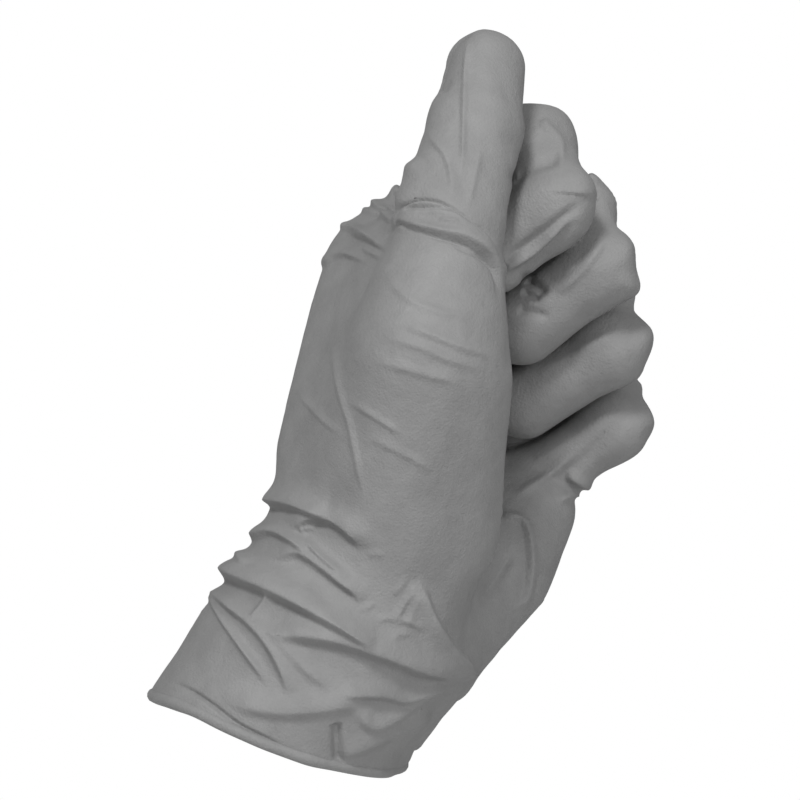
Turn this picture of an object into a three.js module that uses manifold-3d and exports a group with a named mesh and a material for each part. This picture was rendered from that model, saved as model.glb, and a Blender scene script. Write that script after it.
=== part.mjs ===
// A disposable nitrile exam glove, drawn in the form that a loosely closed left hand gives it.
// Millimetres. The origin is the centre of the cuff's mouth and +Z runs up into the glove.
// +X is the palm's side, -Y the thumb's side and +Y the little finger's side.

import * as THREE from "three";
import Module from "manifold-3d";
import { mergeVertices } from "three/addons/utils/BufferGeometryUtils.js";
import { ConvexGeometry } from "three/addons/geometries/ConvexGeometry.js";

const wasm = await Module();
wasm.setup();

// Film and bead
const WALL = 1.0;
const BEAD_DIAMETER = 3.2;

// Cuff, from its mouth to the wrist's crease
const CUFF_DEPTH = 56;
const CUFF_BREADTH = 66;
const CUFF_LENGTH = 30;
const CUFF_SHIFT_PALM = 5;
const CUFF_SHIFT_ULNAR = 9.5;

// Loose film round the wrist
const FOLDED_LENGTH = 60;
const FOLD_RISE = 2.0;
const FOLD_WIDTH = 7;

// Hand, from the wrist's crease to the middle finger's knuckle
const PALM_LENGTH = 83;
const PALM_BREADTH = 80;
const PALM_DEPTH = 32;
const EXTENSION_DEG = 18;
const DEVIATION_DEG = 23;

// Fingers and thumb
const FINGER_LENGTH = 88;
const FINGER_BREADTH = 18.6;
const FINGER_GAP = 0.6;
const THUMB_LENGTH = 114;
const THUMB_BREADTH = 24;
const NAIL_TURN_DEG = 51;

// How finely the surfaces are cut
const OUTSIDE = { bodySides: 48, foldStep: 3, bodyStep: 5, digitSides: 12, capRings: 3, swellSides: 14 };
const INSIDE = { bodySides: 20, foldStep: 8, bodyStep: 10, digitSides: 8, capRings: 2, swellSides: 10 };
const BEAD_SIDES = 8;

// A segment's far cap is this share of the joint that it hides in.
const HIDDEN_CAP = 0.85;

// Points closer than this are one point.
const MERGE_DISTANCE = 1e-4;

// Sections of the cuff. Along is a share of CUFF_LENGTH from the mouth, thumb and ulnar are shares of
// CUFF_BREADTH, back and palm are shares of CUFF_DEPTH, and turn is the share of the wrist's bend.
const CUFF_SECTIONS = [
  { along: 0.0, thumb: 0.5, ulnar: 0.5, back: 0.5, palm: 0.5, turn: 0.0 },
  { along: 0.4, thumb: 0.5, ulnar: 0.51, back: 0.52, palm: 0.54, turn: 0.15 },
  { along: 0.75, thumb: 0.51, ulnar: 0.51, back: 0.53, palm: 0.53, turn: 0.4 },
];

// Sections of the hand. Along is a share of PALM_LENGTH from the wrist's crease, thumb and ulnar are
// shares of PALM_BREADTH, and back and palm are shares of PALM_DEPTH.
const HAND_SECTIONS = [
  { along: 0.0, thumb: 0.42, ulnar: 0.4, back: 0.84, palm: 0.84, turn: 0.7 },
  { along: 0.14, thumb: 0.39, ulnar: 0.42, back: 0.66, palm: 0.76, turn: 0.95 },
  { along: 0.3, thumb: 0.38, ulnar: 0.46, back: 0.55, palm: 0.64, turn: 1.0 },
  { along: 0.5, thumb: 0.42, ulnar: 0.5, back: 0.48, palm: 0.46, turn: 1.0 },
  { along: 0.7, thumb: 0.46, ulnar: 0.51, back: 0.44, palm: 0.38, turn: 1.0 },
  { along: 0.86, thumb: 0.47, ulnar: 0.48, back: 0.42, palm: 0.38, turn: 1.0 },
  { along: 0.98, thumb: 0.42, ulnar: 0.4, back: 0.37, palm: 0.36, turn: 1.0 },
  { along: 1.06, thumb: 0.3, ulnar: 0.26, back: 0.2, palm: 0.22, turn: 1.0 },
];

// Folds of the loose film. Each runs round the glove from one angle to another, in degrees from the palm
// towards the little finger, and climbs from start to finish, shares of CUFF_LENGTH above the mouth.
// Rise is a share of FOLD_RISE.
const FOLDS = [
  { from: 222, to: 320, start: 1.62, finish: 1.28, rise: 0.8 },
  { from: 215, to: 335, start: 1.04, finish: 0.74, rise: 1.0 },
  { from: 262, to: 325, start: 1.08, finish: 0.9, rise: 0.6 },
  { from: 262, to: 405, start: 0.7, finish: 0.92, rise: 0.8 },
  { from: 220, to: 305, start: 0.86, finish: 0.36, rise: 0.6 },
  { from: 315, to: 370, start: 0.46, finish: 0.68, rise: 0.6 },
  { from: 340, to: 410, start: 1.2, finish: 0.9, rise: 0.6 },
  { from: 40, to: 150, start: 0.98, finish: 0.74, rise: 0.9 },
  { from: 130, to: 240, start: 0.8, finish: 1.16, rise: 0.9 },
  { from: 60, to: 160, start: 1.42, finish: 1.2, rise: 0.7 },
  { from: 95, to: 200, start: 0.36, finish: 0.6, rise: 0.6 },
];

// Fingers. Along is the knuckle's place, a share of PALM_LENGTH, and lift its shift towards the back, a
// share of PALM_DEPTH. Proximal, middle and distal are lengths, shares of FINGER_LENGTH, girth is a
// share of FINGER_BREADTH, and bend holds the angles at the three joints in degrees.
const FINGERS = [
  { along: 1.0, lift: -0.03, proximal: 0.485, middle: 0.257, distal: 0.2, girth: 1.0, bend: [49, 100, 80] },
  { along: 0.99, lift: 0.06, proximal: 0.495, middle: 0.234, distal: 0.24, girth: 1.0, bend: [60, 87, 82] },
  { along: 0.92, lift: 0.02, proximal: 0.448, middle: 0.21, distal: 0.28, girth: 0.96, bend: [65, 85, 87] },
  { along: 0.83, lift: -0.08, proximal: 0.36, middle: 0.15, distal: 0.27, girth: 0.89, bend: [73, 79, 82] },
];

// Half sizes at a finger's joints and tip, as shares of its own breadth.
const FINGER_JOINTS = [
  { across: 0.5, thick: 0.62 },
  { across: 0.52, thick: 0.54 },
  { across: 0.52, thick: 0.51 },
  { across: 0.5, thick: 0.48 },
];

// Joints of the thumb. Palm and along are shares of THUMB_LENGTH from the wrist's crease, aside is a
// share of PALM_BREADTH out from the hand's axis, and across and thick are shares of THUMB_BREADTH.
// The last two joints lie against the index finger, with only the share in lean of their own.
const THUMB_JOINTS = [
  { palm: 0.285, along: 0.385, aside: 0.54, across: 0.6, thick: 0.58 },
  { palm: 0.29, along: 0.66, lean: -0.01, across: 0.52, thick: 0.46 },
  { palm: 0.293, along: 0.885, lean: 0.01, across: 0.475, thick: 0.42 },
  { palm: 0.284, along: 1.025, lean: 0.035, across: 0.39, thick: 0.37 },
];

// Rolls of film round the thumb below its last joint. At is the share of the way from the first joint
// in THUMB_JOINTS to the second, and rise is a share of FOLD_RISE.
const THUMB_ROLLS = [
  { at: 0.72, rise: 0.4 },
  { at: 0.98, rise: 0.6 },
];

// Soft swells of the palm and the film between thumb and index finger, each the hull of its balls.
// Palm, ulnar and along place a ball in the hand's frame, and all four values are shares of PALM_LENGTH.
const SWELLS = [
  [
    { palm: 0.0, ulnar: -0.29, along: 0.38, radius: 0.15 },
    { palm: 0.01, ulnar: -0.34, along: 0.93, radius: 0.14 },
    { palm: 0.1, ulnar: -0.28, along: 0.2, radius: 0.15 },
    { palm: 0.14, ulnar: -0.1, along: 0.0, radius: 0.19 },
    { palm: 0.25, ulnar: -0.13, along: 0.22, radius: 0.2 },
    { palm: 0.39, ulnar: -0.43, along: 0.5, radius: 0.19 },
    { palm: 0.375, ulnar: -0.5, along: 0.47, radius: 0.18 },
    { palm: 0.395, ulnar: -0.565, along: 0.84, radius: 0.132 },
  ],
  [
    { palm: 0.06, ulnar: 0.16, along: -0.02, radius: 0.19 },
    { palm: 0.203, ulnar: 0.3, along: 0.323, radius: 0.165 },
    { palm: 0.215, ulnar: 0.36, along: 0.545, radius: 0.145 },
    { palm: 0.02, ulnar: 0.36, along: 0.4, radius: 0.14 },
  ],
];

const rad = THREE.MathUtils.degToRad;

// Makes a solid from a three.js geometry whose faces close it.
function solidOf(geometry) {
  geometry.deleteAttribute("normal");
  geometry.deleteAttribute("uv");
  const merged = mergeVertices(geometry, MERGE_DISTANCE);
  return new wasm.Manifold(
    new wasm.Mesh({
      numProp: 3,
      vertProperties: merged.attributes.position.array,
      triVerts: new Uint32Array(merged.index.array),
    }),
  );
}

// Makes a solid from rings of points: walls between the rings and a fan over each end.
function loft(rings) {
  const sides = rings[0].length;
  const last = (rings.length - 1) * sides;
  const middleOf = (ring) =>
    ring.reduce((sum, p) => sum.add(p), new THREE.Vector3()).divideScalar(sides);
  const points = [...rings.flat(), middleOf(rings[0]), middleOf(rings.at(-1))];
  const faces = [];
  for (let j = 0; j < sides; j++) {
    const k = (j + 1) % sides;
    faces.push(points.length - 2, k, j);
    for (let a = 0; a < last; a += sides) {
      faces.push(a + j, a + k, a + sides + k);
      faces.push(a + j, a + sides + k, a + sides + j);
    }
    faces.push(points.length - 1, last + j, last + k);
  }
  const geometry = new THREE.BufferGeometry().setFromPoints(points).setIndex(faces);
  return solidOf(geometry);
}

// Joins solids one after another.
function join(solids) {
  return solids.reduce((whole, solid) => whole.add(solid));
}

// The hand's own frame at the wrist's crease: x to the palm, y to the little finger, z to the knuckles.
const wristTurn = new THREE.Quaternion()
  .setFromAxisAngle(new THREE.Vector3(0, 1, 0), -rad(EXTENSION_DEG))
  .multiply(new THREE.Quaternion().setFromAxisAngle(new THREE.Vector3(1, 0, 0), -rad(DEVIATION_DEG)));
const wrist = new THREE.Vector3(CUFF_SHIFT_PALM, CUFF_SHIFT_ULNAR, CUFF_LENGTH);
function handPoint(palm, ulnar, along) {
  return new THREE.Vector3(palm, ulnar, along).applyQuaternion(wristTurn).add(wrist);
}
function handDirection(palm, ulnar, along) {
  return new THREE.Vector3(palm, ulnar, along).applyQuaternion(wristTurn);
}

// The cuff's and the hand's sections in millimetres, in the order in which a hand passes them.
const bodySections = [
  ...CUFF_SECTIONS.map((s) => ({
    height: s.along * CUFF_LENGTH,
    middle: wrist.clone().multiplyScalar(s.along),
    thumb: s.thumb * CUFF_BREADTH,
    ulnar: s.ulnar * CUFF_BREADTH,
    back: s.back * CUFF_DEPTH,
    palm: s.palm * CUFF_DEPTH,
    turn: s.turn,
  })),
  ...HAND_SECTIONS.map((s) => ({
    height: CUFF_LENGTH + s.along * PALM_LENGTH,
    middle: handPoint(0, 0, s.along * PALM_LENGTH),
    thumb: s.thumb * PALM_BREADTH,
    ulnar: s.ulnar * PALM_BREADTH,
    back: s.back * PALM_DEPTH,
    palm: s.palm * PALM_DEPTH,
    turn: s.turn,
  })),
];

// The section at or below a height. The first and last pairs of sections also serve past the ends.
function sectionBelow(height) {
  const above = bodySections.findIndex((section) => section.height > height);
  return above < 0 ? bodySections.length - 2 : Math.max(above - 1, 0);
}

// The share of the middle line at a height: its points are the sections.
function sectionShare(height) {
  const i = sectionBelow(height);
  const span = bodySections[i + 1].height - bodySections[i].height;
  return (i + (height - bodySections[i].height) / span) / (bodySections.length - 1);
}

// Runs one smooth curve through a value of the body's sections and reads it at a height.
function sectionValue(key, height) {
  const i = sectionBelow(height);
  const [a, b] = [bodySections[i], bodySections[i + 1]];
  const before = bodySections[Math.max(i - 1, 0)];
  const after = bodySections[Math.min(i + 2, bodySections.length - 1)];
  const span = b.height - a.height;
  const t = (height - a.height) / span;
  const slopeA = ((b[key] - before[key]) / (b.height - before.height)) * span;
  const slopeB = ((after[key] - a[key]) / (after.height - a.height)) * span;
  const cubic = 2 * a[key] - 2 * b[key] + slopeA + slopeB;
  const square = 3 * (b[key] - a[key]) - 2 * slopeA - slopeB;
  return ((cubic * t + square) * t + slopeA) * t + a[key];
}
const middleLine = new THREE.CatmullRomCurve3(bodySections.map((s) => s.middle));

// How far the loose film stands out at a height above the mouth and an angle round it.
function foldRise(height, degrees) {
  let rise = 0;
  for (const fold of FOLDS) {
    const past = THREE.MathUtils.euclideanModulo(degrees - fold.from, 360);
    const share = past / (fold.to - fold.from);
    if (share >= 1) continue;
    const crest = THREE.MathUtils.lerp(fold.start, fold.finish, share) * CUFF_LENGTH;
    const off = Math.abs(height - crest) / (FOLD_WIDTH / 2);
    const profile = off < 1 ? Math.cos((off * Math.PI) / 2) : 0;
    rise += FOLD_RISE * fold.rise * profile * Math.sin(share * Math.PI);
  }
  return Math.min(rise, FOLD_RISE);
}

// One ring of the cuff and hand at a height, drawn in by an inset. Folds show on the outer face only.
function bodyRing(height, inset, sides) {
  const share = sectionShare(height);
  const middle = middleLine.getPoint(share);
  const turn = new THREE.Quaternion().slerp(wristTurn, sectionValue("turn", height));
  const ring = [];
  for (let j = 0; j < sides; j++) {
    const angle = (j / sides) * 2 * Math.PI;
    const [c, s] = [Math.cos(angle), Math.sin(angle)];
    const out = inset === 0 ? foldRise(height, (j / sides) * 360) : -inset;
    const toPalm = sectionValue(c > 0 ? "palm" : "back", height) + out;
    const toUlnar = sectionValue(s > 0 ? "ulnar" : "thumb", height) + out;
    ring.push(new THREE.Vector3(c * toPalm, s * toUlnar, 0).applyQuaternion(turn).add(middle));
  }
  return ring;
}

// The cuff, wrist and hand as far as the knuckles. The hollow's solid goes on down through the mouth.
function bodySolid(inset, cut) {
  const top = bodySections.at(-1).height - inset;
  const rings = [];
  for (let height = 0; height < top; height += height < FOLDED_LENGTH ? cut.foldStep : cut.bodyStep) {
    rings.push(bodyRing(height, inset, cut.bodySides));
  }
  rings.push(bodyRing(top, inset, cut.bodySides));
  if (inset > 0) rings.unshift(rings[0].map((p) => new THREE.Vector3(p.x, p.y, -BEAD_DIAMETER)));
  return loft(rings);
}

// The directions of a digit's segment: along it, across the digit and through its thickness.
function segmentAxes(from, to, acrossHint) {
  const along = to.clone().sub(from).normalize();
  const through = new THREE.Vector3().crossVectors(along, acrossHint).normalize();
  return { along, through, across: new THREE.Vector3().crossVectors(through, along) };
}

// An oval ring of a digit, a distance along a segment's axis from its start.
function ovalRing(start, axes, distance, across, thick, sides) {
  const ring = [];
  for (let j = 0; j < sides; j++) {
    const angle = (j / sides) * 2 * Math.PI;
    const point = start.clone().addScaledVector(axes.along, distance);
    point.addScaledVector(axes.across, Math.cos(angle) * across);
    ring.push(point.addScaledVector(axes.through, Math.sin(angle) * thick));
  }
  return ring;
}

// A tapered capsule between two joints. The far cap is smaller where it hides in the next segment.
function segmentSolid(from, to, farCap, acrossHint, inset, cut) {
  const axes = segmentAxes(from.point, to.point, acrossHint);
  const length = from.point.distanceTo(to.point);
  const ring = (joint, distance, size) =>
    ovalRing(
      from.point,
      axes,
      distance,
      size * (joint.across - inset),
      size * (joint.thick - inset),
      cut.digitSides,
    );
  const nearCap = [];
  const farEnd = [];
  for (let i = 0; i < cut.capRings; i++) {
    const angle = ((i + 0.5) / cut.capRings) * (Math.PI / 2);
    const [size, reach] = [Math.sin(angle), Math.cos(angle)];
    nearCap.push(ring(from, -reach * (from.thick - inset), size));
    farEnd.unshift(ring(to, length + farCap * reach * (to.thick - inset), farCap * size));
  }
  return loft([...nearCap, ring(from, 0, 1), ring(to, length, 1), ...farEnd]);
}

// The fingers stand side by side with FINGER_GAP between them, centred on the hand's axis.
const rowBreadth = FINGERS.reduce((sum, f) => sum + f.girth * FINGER_BREADTH + FINGER_GAP, -FINGER_GAP);
function fingerAside(index) {
  const before = FINGERS.slice(0, index);
  const start = before.reduce((sum, f) => sum + f.girth * FINGER_BREADTH + FINGER_GAP, -rowBreadth / 2);
  return start + (FINGERS[index].girth * FINGER_BREADTH) / 2;
}

// The joints of one finger, from its knuckle to its tip.
function fingerJoints(finger, index) {
  const breadth = finger.girth * FINGER_BREADTH;
  const sizes = FINGER_JOINTS.map((j) => ({ across: j.across * breadth, thick: j.thick * breadth }));
  let palm = -finger.lift * PALM_DEPTH;
  let along = finger.along * PALM_LENGTH;
  let bend = 0;
  const joints = [{ ...sizes[0], point: handPoint(palm, fingerAside(index), along) }];
  [finger.proximal, finger.middle, finger.distal].forEach((share, i) => {
    bend += rad(finger.bend[i]);
    palm += Math.sin(bend) * share * FINGER_LENGTH;
    along += Math.cos(bend) * share * FINGER_LENGTH;
    joints.push({ ...sizes[i + 1], point: handPoint(palm, fingerAside(index), along) });
  });
  return joints;
}

// The joints of the thumb, from its root to its tip.
function thumbJoints() {
  const indexSide = fingerAside(0) - (FINGERS[0].girth * FINGER_BREADTH) / 2;
  return THUMB_JOINTS.map((j) => {
    const across = j.across * THUMB_BREADTH;
    const thick = j.thick * THUMB_BREADTH;
    const turn = rad(NAIL_TURN_DEG);
    const reach = Math.hypot(across * Math.cos(turn), thick * Math.sin(turn));
    const against = indexSide - FINGER_GAP - reach - j.lean * THUMB_LENGTH;
    const aside = j.aside === undefined ? against : -j.aside * PALM_BREADTH;
    return { across, thick, point: handPoint(j.palm * THUMB_LENGTH, aside, j.along * THUMB_LENGTH) };
  });
}

// The hull round a few balls.
function swellSolid(balls, inset, cut) {
  const points = [];
  for (const ball of balls) {
    const middle = handPoint(...[ball.palm, ball.ulnar, ball.along].map((share) => share * PALM_LENGTH));
    const radius = ball.radius * PALM_LENGTH - inset;
    const sphere = new THREE.SphereGeometry(radius, cut.swellSides, cut.swellSides / 2);
    const place = sphere.getAttribute("position");
    for (let i = 0; i < place.count; i++) {
      points.push(new THREE.Vector3().fromBufferAttribute(place, i).add(middle));
    }
  }
  return solidOf(new ConvexGeometry(points));
}

// A finger or the thumb: its segments joined.
function digitSolid(joints, acrossHint, inset, cut) {
  const segments = [];
  for (let i = 0; i + 1 < joints.length; i++) {
    const farCap = i + 2 < joints.length ? HIDDEN_CAP : 1;
    segments.push(segmentSolid(joints[i], joints[i + 1], farCap, acrossHint, inset, cut));
  }
  return join(segments);
}

// The rolls of film that gather below the thumb's last joint.
function thumbRollSolid(roll, acrossHint) {
  const [root, bend] = thumbJoints();
  const axes = segmentAxes(root.point, bend.point, acrossHint);
  const across = THREE.MathUtils.lerp(root.across, bend.across, roll.at);
  const thick = THREE.MathUtils.lerp(root.thick, bend.thick, roll.at);
  const distance = roll.at * root.point.distanceTo(bend.point);
  const ring = (offset, swell) =>
    ovalRing(root.point, axes, distance + offset, across + swell, thick + swell, OUTSIDE.digitSides);
  const swell = roll.rise * FOLD_RISE;
  return loft([ring(-FOLD_WIDTH / 2, -WALL / 2), ring(0, swell), ring(FOLD_WIDTH / 2, -WALL / 2)]);
}

// The rolled bead round the cuff's mouth. Its inner side is level with the film's inner face.
function beadSolid() {
  const radius = BEAD_DIAMETER / 2;
  const rim = bodyRing(0, WALL - radius, OUTSIDE.bodySides);
  const sides = OUTSIDE.bodySides;
  const points = [];
  const faces = [];
  for (let j = 0; j < sides; j++) {
    const out = new THREE.Vector3(rim[j].x, rim[j].y, 0).normalize();
    for (let i = 0; i < BEAD_SIDES; i++) {
      const angle = (i / BEAD_SIDES) * 2 * Math.PI;
      const lift = radius * (1 + Math.sin(angle));
      points.push(rim[j].clone().addScaledVector(out, radius * Math.cos(angle)).setZ(lift));
      const next = (i + 1) % BEAD_SIDES;
      const [here, there] = [j * BEAD_SIDES, ((j + 1) % sides) * BEAD_SIDES];
      faces.push(here + i, there + i, there + next, here + i, there + next, here + next);
    }
  }
  return solidOf(new THREE.BufferGeometry().setFromPoints(points).setIndex(faces));
}

// Everything that the film encloses, drawn in by an inset.
const fingerAcross = handDirection(0, 1, 0);
const nailTurn = rad(NAIL_TURN_DEG);
const thumbAcross = handDirection(Math.sin(nailTurn), Math.cos(nailTurn), 0);
function handSolid(inset, cut) {
  return join([
    bodySolid(inset, cut),
    ...FINGERS.map((finger, i) => digitSolid(fingerJoints(finger, i), fingerAcross, inset, cut)),
    digitSolid(thumbJoints(), thumbAcross, inset, cut),
    ...SWELLS.map((balls) => swellSolid(balls, inset, cut)),
  ]);
}

const rolls = THUMB_ROLLS.map((roll) => thumbRollSolid(roll, thumbAcross));
const outer = join([handSolid(0, OUTSIDE), ...rolls, beadSolid()]);
const glove = outer.subtract(handSolid(WALL, INSIDE));

function meshOf(name, solid, material) {
  const data = solid.getMesh();
  const geometry = new THREE.BufferGeometry();
  geometry.setAttribute("position", new THREE.BufferAttribute(data.vertProperties, 3));
  geometry.setIndex(new THREE.BufferAttribute(data.triVerts, 1));
  geometry.computeVertexNormals();
  const mesh = new THREE.Mesh(geometry, material);
  mesh.name = name;
  return mesh;
}

const nitrile = new THREE.MeshStandardMaterial({ color: 0x8b8b8b, roughness: 0.65, metalness: 0 });
const part = new THREE.Group();
part.add(meshOf("glove", glove, nitrile));
export default part;
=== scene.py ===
# A nitrile exam glove in the form of a loosely closed left hand, open at its beaded cuff.
# Lengths are millimetres until a mesh is made, in the part's own frame: the origin is the centre of the
# cuff's mouth, +Z runs up into the glove, +X is the palm's side and -Y the thumb's side.
import math

import bmesh
import bpy
import numpy as np
import openvdb
from mathutils import Euler, Matrix, Quaternion, Vector


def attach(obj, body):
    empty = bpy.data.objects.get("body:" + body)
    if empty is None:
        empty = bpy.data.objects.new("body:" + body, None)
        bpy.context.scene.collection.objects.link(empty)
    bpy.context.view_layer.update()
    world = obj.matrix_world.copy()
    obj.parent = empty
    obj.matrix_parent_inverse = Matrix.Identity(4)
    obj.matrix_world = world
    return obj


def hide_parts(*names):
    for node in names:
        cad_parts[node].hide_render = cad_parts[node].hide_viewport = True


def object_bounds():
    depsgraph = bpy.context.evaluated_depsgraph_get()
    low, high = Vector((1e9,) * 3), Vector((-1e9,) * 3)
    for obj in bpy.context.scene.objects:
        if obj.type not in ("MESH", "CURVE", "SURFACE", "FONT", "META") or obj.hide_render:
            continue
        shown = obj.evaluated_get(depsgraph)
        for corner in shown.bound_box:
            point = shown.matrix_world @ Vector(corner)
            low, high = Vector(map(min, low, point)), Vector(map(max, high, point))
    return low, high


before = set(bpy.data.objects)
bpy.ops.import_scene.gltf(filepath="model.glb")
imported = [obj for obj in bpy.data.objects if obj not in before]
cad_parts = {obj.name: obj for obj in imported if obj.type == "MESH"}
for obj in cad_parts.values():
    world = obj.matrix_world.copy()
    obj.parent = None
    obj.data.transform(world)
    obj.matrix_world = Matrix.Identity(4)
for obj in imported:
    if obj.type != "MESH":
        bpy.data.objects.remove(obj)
solid_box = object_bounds()

MM = 0.001

# Sizes of the glove, the same as the solid's
WALL = 1.0
BEAD_DIAMETER = 2.8
CUFF_DEPTH = 56
CUFF_BREADTH = 66
CUFF_LENGTH = 30
CUFF_SHIFT_PALM = 5
CUFF_SHIFT_ULNAR = 9.5
PALM_LENGTH = 83
PALM_BREADTH = 80
PALM_DEPTH = 32
EXTENSION_DEG = 18
DEVIATION_DEG = 23
FINGER_LENGTH = 88
FINGER_BREADTH = 18.6
FINGER_GAP = 0.6
THUMB_LENGTH = 114
THUMB_BREADTH = 24
NAIL_TURN_DEG = 51

# Sections of the cuff: along is a share of CUFF_LENGTH, thumb and ulnar of CUFF_BREADTH, back and palm of
# CUFF_DEPTH, and turn is the share of the wrist's bend.
SECTION_COLUMNS = ("along", "thumb", "ulnar", "back", "palm", "turn")
CUFF_SECTIONS = [
    (-0.3, 0.5, 0.5, 0.5, 0.5, 0.0),
    (0.0, 0.5, 0.5, 0.5, 0.5, 0.0),
    (0.4, 0.5, 0.51, 0.52, 0.54, 0.15),
    (0.75, 0.51, 0.51, 0.53, 0.53, 0.4),
]

# Sections of the hand: along is a share of PALM_LENGTH from the wrist's crease, thumb and ulnar are
# shares of PALM_BREADTH, and back and palm are shares of PALM_DEPTH.
HAND_SECTIONS = [
    (0.0, 0.42, 0.4, 0.84, 0.84, 0.7),
    (0.14, 0.39, 0.42, 0.66, 0.76, 0.95),
    (0.3, 0.38, 0.46, 0.55, 0.64, 1.0),
    (0.5, 0.42, 0.5, 0.48, 0.46, 1.0),
    (0.7, 0.46, 0.51, 0.44, 0.38, 1.0),
    (0.86, 0.47, 0.48, 0.42, 0.38, 1.0),
    (0.98, 0.42, 0.4, 0.37, 0.36, 1.0),
    (1.06, 0.3, 0.26, 0.2, 0.22, 1.0),
]

# Fingers: along is the knuckle's place, a share of PALM_LENGTH, lift its shift towards the back, a share of
# PALM_DEPTH, girth is a share of FINGER_BREADTH, the three lengths are shares of FINGER_LENGTH, and the
# bends are degrees.
FINGER_COLUMNS = ("along", "lift", "girth", "lengths", "bends")
FINGER_ROWS = {
    "index": (1.0, -0.03, 1.0, (0.485, 0.257, 0.2), (49, 100, 80)),
    "middle": (0.99, 0.06, 1.0, (0.495, 0.234, 0.24), (60, 87, 82)),
    "ring": (0.92, 0.02, 0.96, (0.448, 0.21, 0.28), (65, 85, 87)),
    "little": (0.83, -0.08, 0.89, (0.36, 0.15, 0.27), (73, 79, 82)),
}
FINGERS = {name: dict(zip(FINGER_COLUMNS, row)) for name, row in FINGER_ROWS.items()}

# Half sizes across and through a finger at its joints and tip, as shares of its breadth
FINGER_JOINTS = [(0.5, 0.62), (0.52, 0.54), (0.52, 0.51), (0.5, 0.48)]

# Joints of the thumb: palm and along are shares of THUMB_LENGTH, aside is a share of PALM_BREADTH out from
# the hand's axis or, where it is None, against the index finger with a lean, and the half sizes are shares
# of THUMB_BREADTH.
THUMB_JOINTS = [
    {"palm": 0.285, "along": 0.385, "aside": 0.54, "lean": 0.0, "across": 0.6, "thick": 0.58},
    {"palm": 0.29, "along": 0.66, "aside": None, "lean": -0.01, "across": 0.52, "thick": 0.46},
    {"palm": 0.293, "along": 0.885, "aside": None, "lean": 0.01, "across": 0.475, "thick": 0.42},
    {"palm": 0.284, "along": 1.025, "aside": None, "lean": 0.035, "across": 0.39, "thick": 0.37},
]

# Soft swells of the palm and of the film between thumb and index finger, each the hull of its balls:
# palm, ulnar, along and radius, all shares of PALM_LENGTH.
SWELLS = [
    [
        (0.0, -0.29, 0.38, 0.15),
        (0.01, -0.34, 0.93, 0.14),
        (0.1, -0.28, 0.2, 0.15),
        (0.14, -0.1, 0.0, 0.19),
        (0.25, -0.13, 0.22, 0.2),
        (0.39, -0.43, 0.5, 0.19),
        (0.375, -0.5, 0.47, 0.18),
        (0.395, -0.565, 0.84, 0.132),
    ],
    [
        (0.06, 0.16, -0.02, 0.19),
        (0.203, 0.3, 0.323, 0.165),
        (0.215, 0.36, 0.545, 0.145),
        (0.02, 0.36, 0.4, 0.14),
    ],
]

# How softly the forms run into each other, and the stretch from a digit's root over which its joint with
# the hand turns from a soft web to a crease
SWELL_BLEND = 9.0
KNUCKLE_BLEND = 7.0
CREASE_BLEND = 1.2
FINGER_BLEND = 5.0
THUMB_BLEND = 2.0
KNUCKLE_REACH = (10.0, 30.0)

# The camera of the photograph: where it stands and how it is turned, in the part's frame
IMAGE_SIDE = 800
SENSOR = 36
LENS = 123.3
CAMERA_PLACE = (355.1, -514.6, 98.0)
CAMERA_AZIMUTH_DEG = 34.13
CAMERA_ELEVATION_DEG = 1.45
CAMERA_ROLL_DEG = 16.63
CLIP_START = 0.01

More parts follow.
